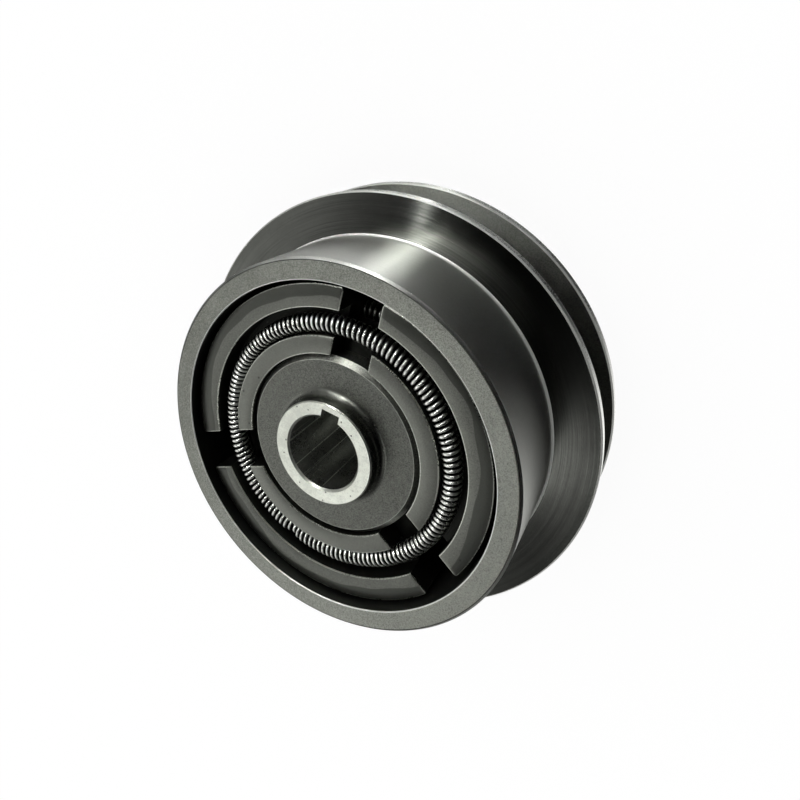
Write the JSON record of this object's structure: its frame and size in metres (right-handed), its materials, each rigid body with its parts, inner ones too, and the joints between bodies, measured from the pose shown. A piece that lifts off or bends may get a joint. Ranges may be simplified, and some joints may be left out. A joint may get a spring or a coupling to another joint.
{
  "type": "centrifugal clutch pulley",
  "caption": "Dry centrifugal clutch with an open drum, sprung shoes and a V-belt pulley on a sealed ball bearing, driven through a keyed bore.",
  "frame": {"origin": "centre of the pulley's back face, on the shaft axis", "axes": "+Z along the shaft axis, out of the open front of the drum; the keyway points along +Y"},
  "size_m": [0.119, 0.119, 0.049],
  "materials": {
    "turned_iron": "fine turned, dark grey",
    "hub_steel": "turned, with a bright machined boss face",
    "shoe_iron": "ground faces with bright edges",
    "spring_steel": "bright drawn wire",
    "bearing_steel": "ground and polished",
    "cage_steel": "pressed sheet",
    "seal_rubber": "matt black",
    "ring_steel": "phosphated spring steel"
  },
  "bodies": {
    "pulley": {"drum_pulley": "turned_iron", "bearing_outer_ring": "bearing_steel", "bearing_seal_front": "seal_rubber", "bearing_seal_rear": "seal_rubber", "housing_retaining_ring": "ring_steel"},
    "hub": {"hub": "hub_steel", "bearing_inner_ring": "bearing_steel", "journal_retaining_ring": "ring_steel", "front_garter_spring": "spring_steel", "rear_garter_spring": "spring_steel"},
    "bearing_cage": {"bearing_cage_front": "cage_steel", "bearing_cage_rear": "cage_steel", "bearing_cage_rivets": "cage_steel", "bearing_balls": "bearing_steel"},
    "shoe_1": {"shoe_1": "shoe_iron"},
    "shoe_2": {"shoe_2": "shoe_iron"},
    "shoe_3": {"shoe_3": "shoe_iron"}
  },
  "joints": [
    {"name": "hub_spin", "type": "hinge", "parent": "pulley", "child": "hub", "pos_m": [0, 0, 0], "axis": [0, 0, 1], "continuous": true},
    {"name": "cage_spin", "type": "hinge", "parent": "pulley", "child": "bearing_cage", "pos_m": [0, 0, 0], "axis": [0, 0, 1], "continuous": true},
    {"name": "shoe_1_slide", "type": "slide", "parent": "hub", "child": "shoe_1", "axis": [-0.866, 0.5, 0], "range_m": [0, 0.0012], "stiffness_N_per_m": 12000, "springref_m": -0.002, "deforming": ["front_garter_spring", "rear_garter_spring"]},
    {"name": "shoe_2_slide", "type": "slide", "parent": "hub", "child": "shoe_2", "axis": [0, -1, 0], "range_m": [0, 0.0012], "stiffness_N_per_m": 12000, "springref_m": -0.002},
    {"name": "shoe_3_slide", "type": "slide", "parent": "hub", "child": "shoe_3", "axis": [0.866, 0.5, 0], "range_m": [0, 0.0012], "stiffness_N_per_m": 12000, "springref_m": -0.002}
  ],
  "couplings": [
    {"joint": "cage_spin", "follows": "hub_spin", "ratio": 0.3965}
  ]
}
